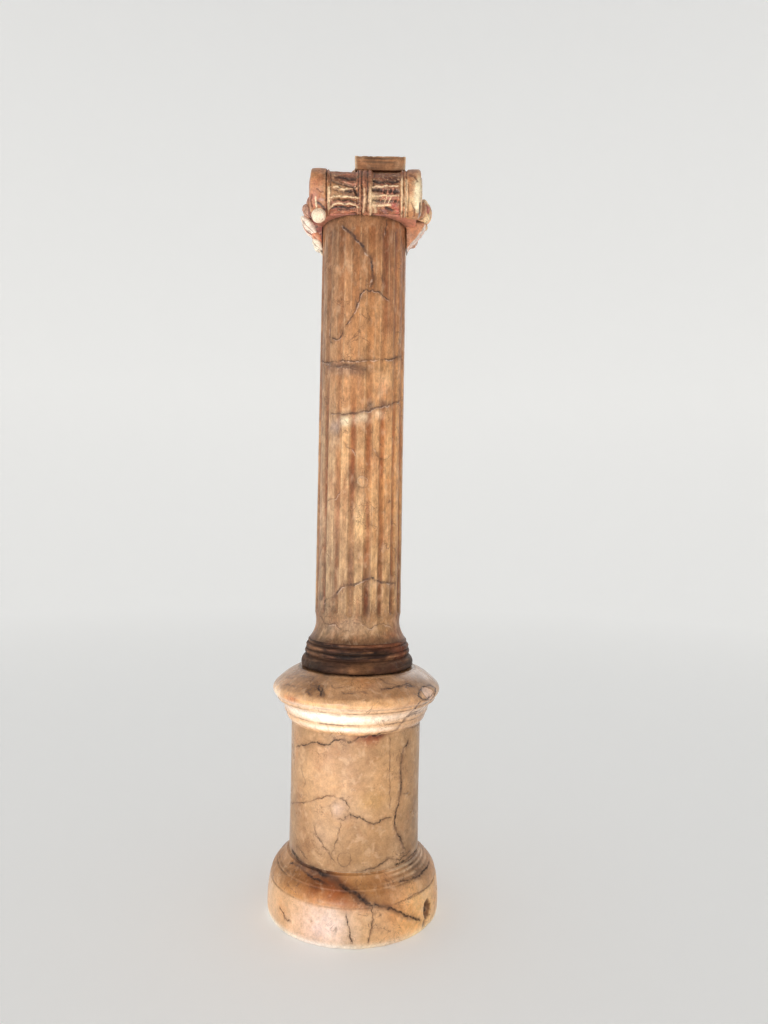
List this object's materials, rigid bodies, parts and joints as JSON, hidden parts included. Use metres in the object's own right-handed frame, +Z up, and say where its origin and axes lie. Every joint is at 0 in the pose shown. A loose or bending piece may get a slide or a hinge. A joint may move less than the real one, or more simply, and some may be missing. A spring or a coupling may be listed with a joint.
{
  "type": "decorative column",
  "caption": "Alabaster column: turned round pedestal, fluted shaft on a ringed foot, carved Ionic capital with bolsters and volutes, and a broken oblong abacus on top.",
  "frame": {"origin": "centre of the round underside, on the surface it stands on", "axes": "+Z up along the column's axis; -Y is the side the picture shows, a bolster side of the capital; the volute faces look to -X and +X"},
  "size_m": [0.2312, 0.2312, 1],
  "materials": {
    "pedestal_stone": "polished honey-pink alabaster with dark brown veins, stains and a pale plinth",
    "shaft_stone": "worn polished brown-orange alabaster, dirty in the flutes, dark stained foot",
    "capital_stone": "glossy red-brown and cream alabaster, dark in the carving",
    "abacus_stone": "plain sawn orange-brown alabaster with rough broken edge"
  },
  "bodies": {
    "root": {"pedestal": "pedestal_stone", "shaft": "shaft_stone", "capital": "capital_stone", "abacus": "abacus_stone"}
  },
  "joints": []
}
